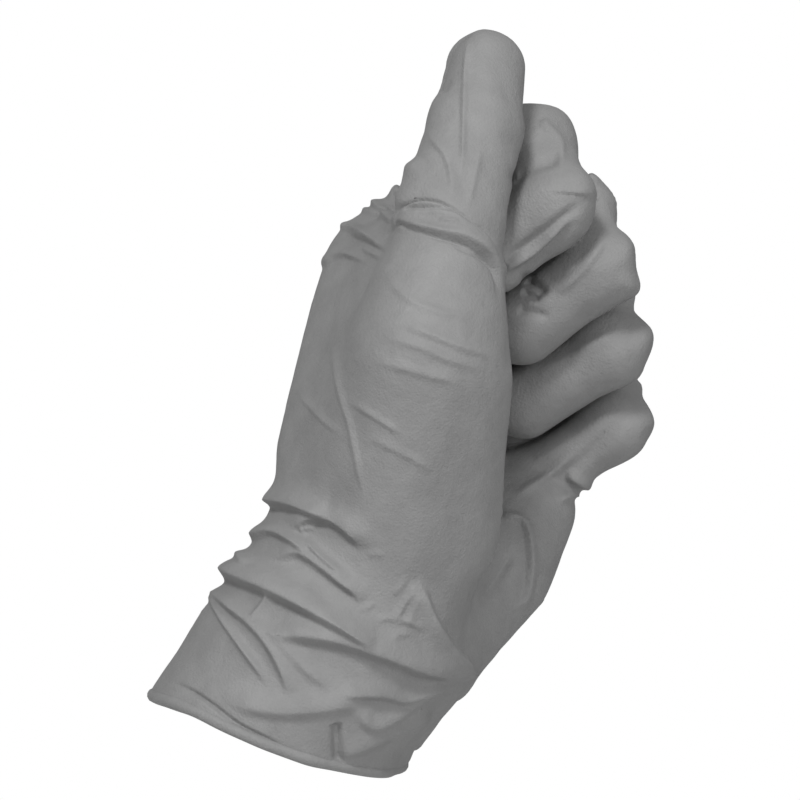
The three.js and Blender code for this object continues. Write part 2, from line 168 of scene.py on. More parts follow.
# Folds that the photograph shows. Each stands out by its rise in millimetres along a line through points
# of the picture, and fades over its left and right widths in pixels, looking along the line.
FOLD_COLUMNS = ("rise", "left", "right", "points")
WRIST_FOLDS = [
    (2.4, 16, 3.5, [(228, 486), (246, 493), (264, 500), (284, 504), (304, 509), (323, 515), (334, 516)]),
    (2.0, 12, 3, [
        (290, 531), (298, 527), (311, 521), (327, 519), (340, 523), (352, 532), (358, 541), (361, 552)
    ]),
    (2.0, 11, 3, [(226, 544), (244, 541), (258, 537), (274, 534), (286, 539), (302, 550), (308, 556)]),
    (0.7, 4, 2, [(300, 533), (306, 530), (318, 527)]),
    (1.2, 6, 4, [(238, 542), (243, 556), (252, 571)]),
    (1.9, 13, 3.2, [(262, 560), (285, 557), (302, 556), (322, 569), (340, 583), (355, 594), (362, 606)]),
    (0.9, 5, 2.5, [(304, 538), (321, 557), (345, 576)]),
    (3.4, 20, 4.2, [
        (188, 556), (205, 564), (222, 573), (246, 583), (270, 592), (302, 608), (335, 627), (362, 641),
        (374, 647)
    ]),
    (1.8, 10, 3.4, [
        (196, 578), (213, 593), (233, 610), (249, 623), (265, 641), (278, 663), (286, 684), (290, 698)
    ]),
    (1.3, 5, 2.8, [(204, 586), (213, 602), (225, 623), (241, 647), (257, 669), (270, 688)]),
    (0.9, 9, 5, [(258, 616), (286, 649), (310, 674), (338, 692)]),
    (0.9, 4, 2.5, [(271, 592), (262, 606), (252, 621)]),
    (2.9, 17, 5.5, [
        (262, 624), (280, 635), (302, 637), (331, 641), (360, 649), (384, 656), (417, 668), (442, 673),
        (470, 674), (486, 674)
    ]),
    (2.0, 5, 11, [(416, 578), (421, 592), (426, 607), (433, 623), (449, 649), (468, 672), (476, 682)]),
    (1.5, 10, 4, [(338, 692), (351, 695), (384, 696), (404, 701), (425, 694), (447, 686), (462, 680)]),
    (1.6, 16, 7, [(216, 702), (241, 711), (268, 714), (294, 713), (331, 708), (352, 704), (366, 703)]),
    (1.3, 9, 5, [(354, 702), (363, 719), (376, 727), (404, 715), (435, 693), (446, 684)]),
    (1.3, 11, 6, [(338, 757), (352, 752), (376, 743), (404, 731), (430, 722), (442, 716)]),
    (-1.6, 3.5, 6, [(338, 722), (339, 731), (341, 764), (342, 772)]),
    (-0.9, 3, 3, [
        (160, 684), (180, 694), (204, 710), (235, 732), (266, 745), (294, 757), (323, 765), (345, 768)
    ]),
    (0.35, 4, 3, [(358, 611), (366, 608), (376, 603)]),
    (0.35, 4, 3, [(392, 594), (398, 590), (410, 576)]),
    (0.5, 3.5, 3, [(396, 630), (398, 616), (404, 604), (412, 592), (416, 580)]),
    (0.45, 3, 4, [(408, 628), (412, 610), (418, 588)]),
    (0.5, 4, 3, [(396, 622), (404, 621), (414, 625), (424, 630)]),
    (0.35, 4, 3, [(374, 622), (388, 618), (398, 620)]),
    (0.35, 4, 3, [(388, 641), (400, 634), (412, 636)]),
    (0.3, 4, 3, [(366, 556), (376, 554), (386, 557)]),
]
THUMB_FOLDS = [
    (1.7, 4, 13, [(390, 226), (404, 213), (423, 205), (444, 209), (469, 224), (488, 242), (498, 258)]),
    (-1.2, 2.2, 2.6, [
        (384, 240), (396, 220), (403, 208), (423, 201), (444, 205), (469, 221), (488, 238), (498, 262)
    ]),
    (-0.8, 2, 2.2, [(405, 213), (416, 210), (442, 210), (458, 215)]),
    (1.8, 9, 4, [
        (384, 236), (400, 226), (422, 230), (446, 235), (466, 240), (488, 256), (497, 276), (502, 306)
    ]),
    (-1.2, 2.2, 2.6, [
        (382, 240), (391, 232), (400, 225), (410, 229), (435, 236), (465, 245), (488, 261), (498, 284),
        (500, 312)
    ]),
    (-0.7, 2, 2.2, [(452, 246), (462, 249), (483, 259), (494, 274), (498, 304)]),
    (0.6, 3, 3, [(438, 221), (459, 225)]),
    (0.7, 3, 2.5, [(467, 26), (465, 67), (464, 102), (463, 136), (461, 190)]),
    (0.4, 10, 10, [(483, 30), (490, 79), (497, 115), (500, 160)]),
    (-0.7, 5, 5, [(444, 76), (441, 84), (438, 92)]),
    (0.6, 6, 3, [(426, 132), (447, 160), (453, 196)]),
    (0.5, 4, 3, [(482, 144), (474, 178), (468, 206)]),
    (-1.5, 15, 15, [(474, 14), (458, 30), (446, 52), (439, 76), (434, 104)]),
    (1.8, 12, 6, [(424, 158), (412, 168), (403, 180), (396, 196), (386, 210)]),
]
HAND_FOLDS = [
    (0.7, 6, 4, [(398, 322), (433, 336), (461, 347), (506, 362)]),
    (0.6, 6, 4, [(378, 336), (419, 347), (447, 359), (492, 373)]),
    (0.6, 6, 4, [(368, 360), (412, 371), (433, 377), (466, 384)]),
    (0.6, 3, 3, [(329, 332), (335, 364), (342, 401), (348, 420), (356, 453), (360, 476), (368, 512)]),
    (0.5, 4, 3, [(346, 399), (379, 420), (402, 434)]),
    (0.5, 4, 3, [(298, 392), (318, 415), (342, 436)]),
    (0.5, 5, 4, [(382, 274), (410, 300), (440, 312), (480, 317)]),
    (0.4, 5, 4, [(364, 436), (400, 452), (438, 474)]),
    (1.4, 6, 3, [(498, 508), (507, 516), (524, 525), (530, 560), (526, 592), (519, 604), (497, 617)]),
    (-1.0, 6, 6, [(513, 550), (500, 575), (480, 604)]),
    (1.2, 7, 3, [(318, 268), (328, 262), (338, 256), (352, 256), (372, 264)]),
    (1.1, 6, 3, [(338, 226), (347, 228), (366, 234), (389, 248)]),
    (1.0, 5, 3, [(346, 231), (370, 240), (389, 251)]),
    (1.5, 9, 3, [(366, 196), (373, 204), (383, 214), (396, 224)]),
    (0.8, 4, 3, [(358, 207), (370, 213), (390, 221)]),
    (0.7, 4, 3, [(362, 247), (370, 252), (384, 258)]),
]
FINGER_FOLDS = [
    (-0.9, 6, 6, [(508, 183), (518, 177), (533, 167), (553, 161), (562, 158)]),
    (-1.2, 6, 6, [(500, 262), (520, 250), (536, 239), (567, 215), (588, 198)]),
    (-1.2, 6, 6, [(500, 285), (529, 267), (559, 239), (580, 216)]),
    (1.2, 5, 4, [(494, 274), (533, 253), (575, 217)]),
    (0.8, 4, 4, [(540, 120), (545, 128), (558, 146), (560, 178)]),
    (-1.2, 5, 5, [(520, 276), (536, 285), (548, 297)]),
    (-1.0, 4, 4, [(520, 290), (542, 300)]),
    (-0.9, 5, 5, [(516, 309), (530, 312), (552, 317)]),
    (0.9, 6, 4, [(552, 298), (584, 270), (610, 232)]),
    (0.6, 6, 6, [(530, 377), (580, 352), (630, 324)]),
    (-0.9, 7, 7, [(630, 408), (599, 443), (578, 464), (550, 488)]),
    (0.9, 5, 4, [(512, 497), (545, 478), (578, 450)]),
    (1.5, 6, 4, [(564, 474), (573, 478), (585, 484), (604, 490)]),
    (1.2, 5, 4, [(554, 503), (575, 494), (594, 492)]),
    (1.7, 24, 24, [(534, 96), (556, 112), (574, 134), (586, 160), (592, 192), (590, 204)]),
    (1.9, 13, 13, [(594, 186), (610, 204), (622, 226), (625, 250), (616, 276)]),
    (2.2, 13, 13, [(614, 274), (634, 288), (646, 308), (648, 334), (638, 364)]),
    (1.2, 12, 12, [(634, 372), (648, 392), (650, 418), (640, 440)]),
]

# Folds of the sides that the photograph doesn't show. The points are shares of PALM_LENGTH to the viewer's
# right and down from the wrist's crease, and the widths are shares of it too.
BACK_FOLDS = [
    (-2.2, 0.035, 0.035, [(0.215, -1.14), (0.2, -1.0), (0.18, -0.86)]),
    (-2.2, 0.035, 0.035, [(-0.015, -1.14), (-0.01, -0.98), (0.0, -0.84)]),
    (-2.2, 0.035, 0.035, [(-0.235, -1.08), (-0.22, -0.92), (-0.2, -0.78)]),
    (0.8, 0.05, 0.02, [(0.3, -0.86), (0.26, -0.66), (0.2, -0.46), (0.16, -0.3)]),
    (0.7, 0.04, 0.02, [(0.05, -0.8), (0.04, -0.6), (0.06, -0.42)]),
    (0.8, 0.05, 0.02, [(-0.16, -0.74), (-0.14, -0.55), (-0.08, -0.34)]),
    (0.7, 0.04, 0.02, [(-0.34, -0.66), (-0.3, -0.5), (-0.22, -0.3)]),
    (1.2, 0.06, 0.02, [(-0.42, -0.36), (-0.2, -0.27), (0.02, -0.24), (0.22, -0.3)]),
    (1.5, 0.07, 0.025, [(-0.46, -0.2), (-0.25, -0.1), (0.0, -0.08), (0.25, -0.16), (0.42, -0.28)]),
    (2.5, 0.09, 0.035, [(-0.5, 0.0), (-0.3, 0.07), (-0.05, 0.09), (0.2, 0.05), (0.46, -0.04)]),
    (2.0, 0.07, 0.03, [(-0.4, 0.16), (-0.15, 0.2), (0.1, 0.17), (0.3, 0.1)]),
    (1.5, 0.06, 0.03, [(-0.2, 0.3), (0.05, 0.27), (0.3, 0.2)]),
    (0.8, 0.03, 0.02, [(0.28, -1.3), (0.33, -1.26), (0.38, -1.26)]),
]
ULNAR_FOLDS = [
    (2.2, 0.08, 0.03, [(-0.5, -0.06), (-0.25, 0.02), (0.05, 0.04), (0.35, -0.04)]),
    (2.4, 0.08, 0.03, [(-0.45, 0.14), (-0.15, 0.2), (0.2, 0.16), (0.42, 0.06)]),
    (1.5, 0.06, 0.03, [(-0.2, 0.32), (0.1, 0.34), (0.35, 0.28)]),
    (1.0, 0.05, 0.02, [(-0.4, -0.34), (-0.2, -0.26), (0.06, -0.26)]),
    (1.0, 0.05, 0.02, [(-0.35, -0.5), (-0.15, -0.42), (0.1, -0.46)]),
    (-1.4, 0.04, 0.04, [(-0.5, -0.62), (-0.3, -0.58), (-0.12, -0.66)]),
    (0.8, 0.04, 0.02, [(-0.1, -0.9), (0.0, -0.74), (0.06, -0.6)]),
]

# How folds are laid on: the share of a fold over which each end fades, how many of its widths it reaches,
# the steps between two of its points, and the deepest that folds may draw the film in
FOLD_END = 0.28
FOLD_REACH = 3
LINE_STEPS = 6
DEEPEST = 1.3

# Which places take the folds of a view: those that face its viewer and aren't behind others by more than
# a depth in millimetres. The sides' own folds start where the film turns away from the photograph's
# camera. The cells that are searched for the nearest place are in each view's own measure.
FACING = (-0.35, 0.0)
HIDDEN_FACING = (0.1, 0.4)
HIDDEN_DEPTH = 9.0
PICTURE_CELL = 4
FLAT_CELL = 1 / PALM_LENGTH
WEIGHT_ROUNDS = 10
WEIGHT_SHARE = 0.6

# Small unevenness of the film: the size of its lumps and how far they stand out, in millimetres
LUMPS = [(11.0, 0.25), (4.5, 0.07), (1.8, 0.03)]
LATTICE_SIDE = 32

# Rim: the heights over which folds fade out, its waves in and out (how many round it, how far and where
# they start), the height to which they reach, and where it rides up
RIM_FADE = (1.4, 3.6)
RIM_WAVES = [(2, 0.5, 0.4), (5, 0.35, 1.9), (9, 0.2, 0.7)]
RIM_WAVE_HEIGHT = 16
RIM_LIFT = 3.0
RIM_LIFT_DEG = -92
RIM_LIFT_SPREAD_DEG = 34

# Where the cuff is drawn in just above the rim, and the heights over which that comes and goes
CUFF_PULL = 2.2
CUFF_PULL_DEG = 30
CUFF_PULL_SPREAD_DEG = 42
CUFF_PULL_RISES = (0.0, 8.0)
CUFF_PULL_FALLS = (14.0, 32.0)

# Bead and inner skin: the bead's thickness varies by a share, in lumps of a size, and the inner skin lies
# at a depth below the outer one
BEAD_UNEVEN = 0.12
BEAD_LUMP = 6.0
BEAD_SEED = 7
INNER_DEPTH = 1.9

# Looks: tones are linear, places of lights are right, up and back in metres as the camera sees them, and
# the floor's sizes are metres
NITRILE_DARK = 0.235
NITRILE_LIGHT = 0.27
FLOOR_HEIGHT = -0.25
FLOOR_RADIUS = 0.8
FLOOR_SIDES = 128
FLOOR_TONE = 0.85
BACKGROUND = 1.0
SKY_WEAK = 0.22
SKY_STRONG = 0.36
SKY_STRONG_SIDE = (-1, 0.35, 0.3)
KEY_PLACE = (-0.25, 0.85, 0.85)
KEY_SIDE = 0.25
KEY_WATTS = 8.6
FILL_PLACE = (0.65, 0.3, 0.9)
FILL_SIDE = 0.5
FILL_WATTS = 5

# The grid: its voxel, its margin round the part and the space that it works out round a digit's joints, in
# millimetres, and the distance that it holds and the inner skin's step, in voxels
VOXEL = 0.55
GRID_MARGIN = 6
DIGIT_REACH = 24
BAND = 12
INNER_STEP = 3

# How finely the forms, skins and bead are cut, and how often each skin is smoothed, by what share
SWELL_BALL_SIDES = 48
BODY_SIDES = 96
RING_STEP = 1.5
RIM_SIDES = 200
BEAD_TUBE_SIDES = 12
OUTER_ROUNDS = 3
INNER_ROUNDS = 2
SKIN_SHARE = 0.5
OUTSIDE_TRIANGLES = 140000


# Smooth steps and curves

def smooth_step(low, high, value):
    share = np.clip((value - low) / (high - low), 0, 1)
    return share * share * (3 - 2 * share)


def smooth_min(a, b, width):
    near = np.maximum(width - np.abs(a - b), 0) / width
    return np.minimum(a, b) - near * near * width * 0.25


def curve_value(places, values, at):
    """Reads one smooth curve through the values at their places."""
    i = np.clip(np.searchsorted(places, at, side="right") - 1, 0, len(places) - 2)
    before = np.maximum(i - 1, 0)
    after = np.minimum(i + 2, len(places) - 1)
    span = places[i + 1] - places[i]
    slope_a = (values[i + 1] - values[before]) / (places[i + 1] - places[before]) * span
    slope_b = (values[after] - values[i]) / (places[after] - places[i]) * span
    t = (at - places[i]) / span
    cubic = 2 * values[i] - 2 * values[i + 1] + slope_a + slope_b
    square = 3 * (values[i + 1] - values[i]) - 2 * slope_a - slope_b
    return ((cubic * t + square) * t + slope_a) * t + values[i]


# The hand's own frame at the wrist's crease: x to the palm, y to the little finger, z to the knuckles

wrist_turn = (
    Quaternion((0, 1, 0), -math.radians(EXTENSION_DEG)) @ Quaternion((1, 0, 0), -math.radians(DEVIATION_DEG))
)
wrist = Vector((CUFF_SHIFT_PALM, CUFF_SHIFT_ULNAR, CUFF_LENGTH))


def hand_point(palm, ulnar, along):
    return wrist_turn @ Vector((palm, ulnar, along)) + wrist


def hand_direction(palm, ulnar, along):
    return wrist_turn @ Vector((palm, ulnar, along))


# The cuff, wrist and hand as far as the knuckles

def body_sections():
    """The sections in millimetres: heights, middles and a table of the other columns."""
    heights, middles, table = [], [], []
    for row in CUFF_SECTIONS:
        s = dict(zip(SECTION_COLUMNS, row))
        heights.append(s["along"] * CUFF_LENGTH)
        middles.append(wrist * s["along"] if s["along"] > 0 else Vector((0, 0, s["along"] * CUFF_LENGTH)))
        table.append(
            (s["thumb"] * CUFF_BREADTH, s["ulnar"] * CUFF_BREADTH, s["back"] * CUFF_DEPTH,
             s["palm"] * CUFF_DEPTH, s["turn"])
        )
    for row in HAND_SECTIONS:
        s = dict(zip(SECTION_COLUMNS, row))
        heights.append(CUFF_LENGTH + s["along"] * PALM_LENGTH)
        middles.append(hand_point(0, 0, s["along"] * PALM_LENGTH))
        table.append(
            (s["thumb"] * PALM_BREADTH, s["ulnar"] * PALM_BREADTH, s["back"] * PALM_DEPTH,
             s["palm"] * PALM_DEPTH, s["turn"])
        )
    return np.array(heights), np.array([tuple(m) for m in middles]), np.array(table)


SECTION_HEIGHTS, SECTION_MIDDLES, SECTION_TABLE = body_sections()


def ring_frame(height):
    """A section's middle, turn and half sizes at a height."""
    middle = np.array([curve_value(SECTION_HEIGHTS, SECTION_MIDDLES[:, k], height) for k in range(3)])
    sizes = [curve_value(SECTION_HEIGHTS, SECTION_TABLE[:, k], height) for k in range(4)]
    turn = float(np.clip(curve_value(SECTION_HEIGHTS, SECTION_TABLE[:, 4], height), 0, 1))
    matrix = np.array(Quaternion().slerp(wrist_turn, turn).to_matrix())
    return middle, matrix, sizes


def body_ring(height, sides, grow=0.0):
    middle, matrix, (thumb, ulnar, back, palm) = ring_frame(height)
    angle = np.arange(sides) / sides * 2 * np.pi
    c, s = np.cos(angle), np.sin(angle)
    to_palm = np.where(c > 0, palm, back) + grow
    to_ulnar = np.where(s > 0, ulnar, thumb) + grow
    flat = np.stack([c * to_palm, s * to_ulnar, np.zeros(sides)], axis=1)
    return flat @ matrix.T + middle


def loft_mesh(rings):
    """Points and triangles of a closed loft through rings of points."""
    sides = len(rings[0])
    points = np.concatenate(rings + [rings[0].mean(0)[None], rings[-1].mean(0)[None]])
    j = np.arange(sides)
    k = (j + 1) % sides
    faces = []
    for a in range(0, (len(rings) - 1) * sides, sides):
        faces.append(np.stack([a + j, a + k, a + sides + k], axis=1))
        faces.append(np.stack([a + j, a + sides + k, a + sides + j], axis=1))
    last = (len(rings) - 1) * sides
    faces.append(np.stack([np.full(sides, len(points) - 2), k, j], axis=1))
    faces.append(np.stack([np.full(sides, len(points) - 1), last + j, last + k], axis=1))
    return points, np.concatenate(faces)


def hull_mesh(balls):
    """Points and triangles of the hull round a few balls."""
    mesh = bmesh.new()
    for palm, ulnar, along, radius in balls:
        middle = hand_point(palm * PALM_LENGTH, ulnar * PALM_LENGTH, along * PALM_LENGTH)
        bmesh.ops.create_uvsphere(
            mesh,
            u_segments=SWELL_BALL_SIDES,
            v_segments=SWELL_BALL_SIDES // 2,
            radius=radius * PALM_LENGTH,
            matrix=Matrix.Translation(middle),
        )
    bmesh.ops.delete(mesh, geom=mesh.edges[:], context="EDGES_FACES")
    hull = bmesh.ops.convex_hull(mesh, input=mesh.verts[:])
    bmesh.ops.delete(mesh, geom=hull["geom_interior"], context="VERTS")
    bmesh.ops.triangulate(mesh, faces=mesh.faces[:])
    mesh.verts.index_update()
    points = np.array([v.co[:] for v in mesh.verts])
    faces = np.array([[v.index for v in f.verts] for f in mesh.faces])
    mesh.free()
    return points, faces


# The grid that holds the distance to the film

low_corner = np.floor((np.array(solid_box[0]) / MM - GRID_MARGIN) / VOXEL).astype(int)
high_corner = np.ceil((np.array(solid_box[1]) / MM + GRID_MARGIN) / VOXEL).astype(int)
GRID_SHAPE = tuple(int(n) for n in high_corner - low_corner)
FAR = BAND * VOXEL
transform = openvdb.createLinearTransform(voxelSize=VOXEL)


def mesh_field(points, faces):
    """Distance to a closed mesh over the whole grid, held within the band."""
    level = openvdb.FloatGrid.createLevelSetFromPolygons(
        points=points.astype(np.float32),
        triangles=faces.astype(np.uint32),
        transform=transform,
        exBandWidth=float(BAND),
        inBandWidth=float(BAND),
    )
    values = np.zeros(GRID_SHAPE, np.float32)
    level.copyToArray(values, ijk=tuple(int(n) for n in low_corner))
    return values


def grid_window(points, reach):
    """The grid's slices round some points, and the coordinates there."""
    lows = np.floor((np.min(points, axis=0) - reach) / VOXEL).astype(int) - low_corner
    highs = np.ceil((np.max(points, axis=0) + reach) / VOXEL).astype(int) - low_corner
    lows = np.clip(lows, 0, GRID_SHAPE)
    highs = np.clip(highs, 0, GRID_SHAPE)
    window = tuple(slice(int(a), int(b)) for a, b in zip(lows, highs))
    axes = [
        ((np.arange(a, b) + start) * VOXEL).astype(np.float32)
        for a, b, start in zip(lows, highs, low_corner)
    ]
    return window, axes


def along_axis(axes, origin, direction):
    """How far the window's points lie along a direction from an origin."""
    x, y, z = (
        (a - np.float32(o)) * np.float32(d) for a, o, d in zip(axes, origin, direction)
    )
    return x[:, None, None] + y[None, :, None] + z[None, None, :]


def segment_field(axes, start, end, across_hint):
    """Distance to a tapered capsule with oval sections between two joints."""
    a, b = np.array(start["point"]), np.array(end["point"])
    length = np.linalg.norm(b - a)
    along = (b - a) / length
    through = np.cross(along, across_hint)
    through /= np.linalg.norm(through)
    across = np.cross(through, along)
    t = along_axis(axes, a, along)
    u = along_axis(axes, a, across)
    w = along_axis(axes, a, through)
    share = np.clip(t / length, 0, 1)
    past = t - share * length
    half_u = start["across"] + (end["across"] - start["across"]) * share
    half_w = start["thick"] + (end["thick"] - start["thick"]) * share
    near = np.sqrt((u / half_u) ** 2 + (w / half_w) ** 2 + (past / half_w) ** 2)
    steep = np.sqrt((u / half_u**2) ** 2 + (w / half_w**2) ** 2 + (past / half_w**2) ** 2) + 1e-6
    return near * (near - 1) / steep


def finger_aside(name):
    """Where a finger stands across the hand: side by side, centred on the hand's axis."""
    breadths = {key: f["girth"] * FINGER_BREADTH for key, f in FINGERS.items()}
    row = sum(breadths.values()) + FINGER_GAP * (len(breadths) - 1)
    start = -row / 2
    for key, breadth in breadths.items():
        if key == name:
            return start + breadth / 2
        start += breadth + FINGER_GAP


def finger_joints(name):
    finger = FINGERS[name]
    breadth = finger["girth"] * FINGER_BREADTH
    palm = -finger["lift"] * PALM_DEPTH
    along = finger["along"] * PALM_LENGTH
    aside = finger_aside(name)
    points = [hand_point(palm, aside, along)]
    bend = 0
    for share, degrees in zip(finger["lengths"], finger["bends"]):
        bend += math.radians(degrees)
        palm += math.sin(bend) * share * FINGER_LENGTH
        along += math.cos(bend) * share * FINGER_LENGTH
        points.append(hand_point(palm, aside, along))
    return [
        {"point": p, "across": across * breadth, "thick": thick * breadth}
        for p, (across, thick) in zip(points, FINGER_JOINTS)
    ]


def thumb_joints():
    index_side = finger_aside("index") - FINGERS["index"]["girth"] * FINGER_BREADTH / 2
    turn = math.radians(NAIL_TURN_DEG)
    joints = []
    for j in THUMB_JOINTS:
        across = j["across"] * THUMB_BREADTH
        thick = j["thick"] * THUMB_BREADTH
        reach = math.hypot(across * math.cos(turn), thick * math.sin(turn))
        aside = index_side - FINGER_GAP - reach - j["lean"] * THUMB_LENGTH
        if j["aside"] is not None:
            aside = -j["aside"] * PALM_BREADTH
        point = hand_point(j["palm"] * THUMB_LENGTH, aside, j["along"] * THUMB_LENGTH)
        joints.append({"point": point, "across": across, "thick": thick})
    return joints


def drawn_in(joint, inset):
    """A joint made thinner, to make up for what the soft blend adds."""
    return {**joint, "across": joint["across"] - inset, "thick": joint["thick"] - inset}


def add_digit(field, joints, across_hint, joint_blend):
    """Joins a finger or the thumb to the field, softly at its root and with a crease further out."""
    joints = [joints[0]] + [drawn_in(j, joint_blend / 4) for j in joints[1:-1]] + [joints[-1]]
    points = np.array([tuple(j["point"]) for j in joints])
    window, axes = grid_window(points, DIGIT_REACH)
    digit = None
    for start, end in zip(joints, joints[1:]):
        segment = segment_field(axes, start, end, across_hint)
        digit = segment if digit is None else smooth_min(digit, segment, joint_blend)
    x, y, z = ((a - np.float32(o)) ** 2 for a, o in zip(axes, points[0]))
    from_root = np.sqrt(x[:, None, None] + y[None, :, None] + z[None, None, :])
    soft = 1 - smooth_step(*KNUCKLE_REACH, from_root)
    width = CREASE_BLEND + (KNUCKLE_BLEND - CREASE_BLEND) * soft
    field[window] = smooth_min(field[window], digit, width)


def film_field():
    """Distance to the glove's outer face."""
    low = SECTION_HEIGHTS[0]
    heights = np.append(np.arange(low, SECTION_HEIGHTS[-1], RING_STEP), SECTION_HEIGHTS[-1])
    field = mesh_field(*loft_mesh([body_ring(h, BODY_SIDES) for h in heights]))
    for balls in SWELLS:
        field = smooth_min(field, mesh_field(*hull_mesh(balls)), SWELL_BLEND)
    across = np.array(hand_direction(0, 1, 0))
    for name in FINGERS:
        add_digit(field, finger_joints(name), across, FINGER_BLEND)
    turn = math.radians(NAIL_TURN_DEG)
    nail = np.array(hand_direction(math.sin(turn), math.cos(turn), 0))
    add_digit(field, thumb_joints(), nail, THUMB_BLEND)
    return field


def field_surface(field, level, step=1):
    """Points and quads of the surface at a level, on every step-th voxel."""
    grid = openvdb.FloatGrid(background=float(FAR))
    grid.transform = openvdb.createLinearTransform(voxelSize=VOXEL * step)
    thinned = np.ascontiguousarray(np.clip(field[::step, ::step, ::step], -FAR, FAR))
    grid.copyFromArray(thinned, ijk=(0, 0, 0))
    points, quads = grid.convertToQuads(isovalue=level)
    return points.astype(np.float64) + low_corner * VOXEL, quads.astype(np.int64)


# Meshes as arrays

def vertex_normals(points, quads):
    a, b, c, d = (points[quads[:, k]] for k in range(4))
    face = np.cross(c - a, d - b)
    normals = np.zeros_like(points)
    for k in range(4):
        np.add.at(normals, quads[:, k], face)
    return normals / np.maximum(np.linalg.norm(normals, axis=1, keepdims=True), 1e-12)


def neighbour_mean(values, quads, rounds, share):
    """Moves each vertex's values a share of the way to the mean of its neighbours'."""
    edges = np.concatenate([quads[:, [0, 1]], quads[:, [1, 2]], quads[:, [2, 3]], quads[:, [3, 0]]])
    both = np.concatenate([edges, edges[:, ::-1]])
    count = np.maximum(np.bincount(both[:, 0], minlength=len(values)), 1)
    for _ in range(rounds):
        mean = np.stack(
            [np.bincount(both[:, 0], column[both[:, 1]], len(values)) / count for column in values.T], axis=1
        )
        values = values + share * (mean - values)
    return values


def lattice_noise(points, size, seed):
    """Smooth noise from -1 to 1 with lumps of a size."""
    lattice = np.random.default_rng(seed).uniform(-1, 1, (LATTICE_SIDE, LATTICE_SIDE, LATTICE_SIDE))
    place = points / size
    cell = np.floor(place).astype(int)
    t = place - cell
    t = t * t * (3 - 2 * t)
    total = np.zeros(len(points))
    for corner in range(8):
        step = np.array([corner & 1, corner >> 1 & 1, corner >> 2 & 1])
        i, j, k = ((cell + step) % LATTICE_SIDE).T
        weight = np.prod(np.where(step, t, 1 - t), axis=1)
        total += lattice[i, j, k] * weight
    return total


# The photograph's view

def camera_matrix():
    """The camera's turn: columns are its right, its up and the way back from the picture."""
    turn = Euler((math.radians(90 - CAMERA_ELEVATION_DEG), 0, math.radians(CAMERA_AZIMUTH_DEG)), "XYZ")
    roll = Matrix.Rotation(math.radians(CAMERA_ROLL_DEG), 3, "Z")
    return turn.to_matrix() @ roll


CAMERA_TURN = np.array(camera_matrix())


def picture_place(points):
    """Pixel across, pixel down and distance from the camera of each point."""
    local = (points - np.array(CAMERA_PLACE)) @ CAMERA_TURN
    scale = LENS / SENSOR * IMAGE_SIDE / -local[:, 2]
    return IMAGE_SIDE / 2 + local[:, 0] * scale, IMAGE_SIDE / 2 - local[:, 1] * scale, -local[:, 2]


def flat_place(right, up):
    """A view without perspective: shares of PALM_LENGTH to the right and down, and depth in millimetres."""
    right, up = np.array(right), np.array(up)
    toward = np.cross(right, up)

    def place(points):
        local = points - np.array(wrist)
        return local @ right / PALM_LENGTH, -local @ up / PALM_LENGTH, -local @ toward

    return place


# Folds

def smooth_line(points):
    """A smooth line through points, with some steps between each two."""
    points = np.array(points, float)
    places = np.arange(len(points), dtype=float)
    at = np.linspace(0, len(points) - 1, (len(points) - 1) * LINE_STEPS + 1)
    return np.stack([curve_value(places, points[:, k], at) for k in range(2)], axis=1)


def fold_height(u, v, fold):
    """How far one fold stands out at places of its view."""
    line = smooth_line(fold["points"])
    start, span = line[:-1], np.diff(line, axis=0)
    across = u[:, None] - start[:, 0]
    down = v[:, None] - start[:, 1]
    square = (span**2).sum(axis=1)
    t = np.clip((across * span[:, 0] + down * span[:, 1]) / square, 0, 1)
    away = np.hypot(across - t * span[:, 0], down - t * span[:, 1])
    nearest = away.argmin(axis=1)
    row = np.arange(len(u))
    side = span[nearest, 0] * down[row, nearest] - span[nearest, 1] * across[row, nearest]
    off = away[row, nearest] * np.sign(side)
    share = (nearest + t[row, nearest]) / len(span)
    ends = smooth_step(0, FOLD_END, share) * smooth_step(0, FOLD_END, 1 - share)
    crest = np.exp(-((off / np.where(off > 0, fold["right"], fold["left"])) ** 2))
    return fold["rise"] * ends * crest


def view_weight(place, points, normals, quads, viewer, cell):
    """How much of a fold each vertex takes: those turned away or behind others take none."""
    u, v, depth = place(points)
    column = np.round(u / cell).astype(int)
    line = np.round(v / cell).astype(int)
    column -= column.min()
    line -= line.min()
    key = line * (column.max() + 1) + column
    nearest = np.full(key.max() + 1, np.inf)
    np.minimum.at(nearest, key, depth)
    facing = (normals * viewer).sum(axis=1)
    weight = smooth_step(*FACING, facing) * (depth < nearest[key] + HIDDEN_DEPTH)
    return neighbour_mean(weight[:, None], quads, WEIGHT_ROUNDS, WEIGHT_SHARE)[:, 0]


def folds_seen(place, points, normals, quads, viewer, cell, folds):
    """How far the folds of one view move each vertex out."""
    weight = view_weight(place, points, normals, quads, viewer, cell)
    u, v, _ = place(points)
    out = np.zeros(len(points))
    for values in folds:
        fold = dict(zip(FOLD_COLUMNS, values))
        reach = FOLD_REACH * max(fold["left"], fold["right"])
        low = np.min(fold["points"], axis=0) - reach
        high = np.max(fold["points"], axis=0) + reach
        near = (weight > 0) & (u > low[0]) & (u < high[0]) & (v > low[1]) & (v < high[1])
        if near.any():
            out[near] += weight[near] * fold_height(u[near], v[near], fold)
    return out


def round_place(angle, middle_deg, spread_deg):
    """Falls from 1 to 0 away from one direction round the cuff."""
    away = (np.degrees(angle) - middle_deg + 180) % 360 - 180
    return np.exp(-((away / spread_deg) ** 2))


